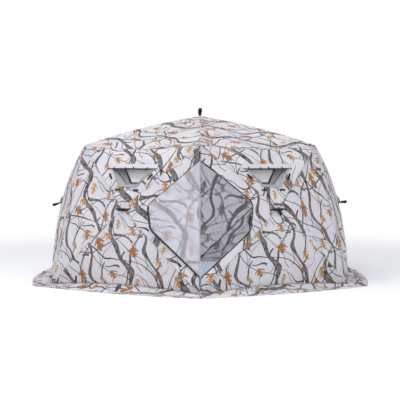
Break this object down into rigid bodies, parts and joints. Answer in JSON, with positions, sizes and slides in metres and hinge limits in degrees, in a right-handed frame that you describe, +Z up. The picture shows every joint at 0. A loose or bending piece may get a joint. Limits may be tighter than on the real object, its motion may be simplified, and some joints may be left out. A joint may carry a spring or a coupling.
{
  "type": "ice fishing tent",
  "caption": "Six-sided pop-up ice fishing tent in bark and leaf print: hubs push out sprung fabric walls, with a snow skirt and a zipped corner door that folds back.",
  "frame": {"origin": "on the ground, under the middle of the tent", "axes": "+Z up; -Y towards the front corner with the door; +X to the right, seen from the front"},
  "size_m": [4.1864, 4.5796, 2.1473],
  "materials": {
    "printed_fabric": "matt woven polyester, printed with bark and oak leaves on a pale ground",
    "skirt_fabric": "the same print, thinner",
    "white_fabric": "white inner side of the fabric",
    "grey_lining": "grey mesh lining",
    "black_webbing": "black woven webbing",
    "zip_tape": "black zip tape",
    "hub_plastic": "black moulded nylon",
    "rod": "black glass fibre",
    "clear_film": "clear film with a yellow-green cast"
  },
  "bodies": {
    "shelter": {"wall_front_left_top": "printed_fabric", "wall_front_left_side": "printed_fabric", "wall_front_left_base": "printed_fabric", "wall_front_left_corner": "printed_fabric", "wall_front_right_top": "printed_fabric", "wall_front_right_side": "printed_fabric", "wall_front_right_base": "printed_fabric", "door_surround_upper": "printed_fabric", "door_surround_lower": "printed_fabric", "wall_right": "printed_fabric", "wall_back_right": "printed_fabric", "wall_back_left": "printed_fabric", "wall_left": "printed_fabric", "roof_front_right": "printed_fabric", "roof_right": "printed_fabric", "roof_back_right": "printed_fabric", "roof_back_left": "printed_fabric", "roof_left": "printed_fabric", "roof_front_left": "printed_fabric", "snow_skirt": "skirt_fabric", "roof_hub": "hub_plastic", "roof_ferrules": "hub_plastic", "roof_rods": "rod", "wall_hubs": "hub_plastic", "wall_ferrules": "hub_plastic", "wall_rods_front_right": "rod", "wall_rods_right": "rod", "wall_rods_back_right": "rod", "wall_rods_back_left": "rod", "wall_rods_left": "rod", "wall_rods_front_left": "rod", "eave_fittings": "hub_plastic", "corner_feet": "hub_plastic", "hub_hoods": "printed_fabric", "hub_straps": "black_webbing", "roof_cap": "printed_fabric", "roof_strap": "black_webbing", "window_funnels": "grey_lining", "window_films": "clear_film", "window_visors": "white_fabric", "window_tabs": "black_webbing", "storage_pocket": "black_webbing", "door_welt": "black_webbing", "zip_track": "zip_tape", "zip_pulls": "zip_tape"},
    "flap": {"door_flap": "white_fabric", "door_flap_tape": "zip_tape"}
  },
  "joints": [
    {"name": "door_fold", "type": "hinge", "parent": "shelter", "child": "flap", "pos_m": [0, -2.0616, 0.01708], "axis": [0, 0.2568, 0.9665], "range_deg": [0, 201.01]}
  ]
}
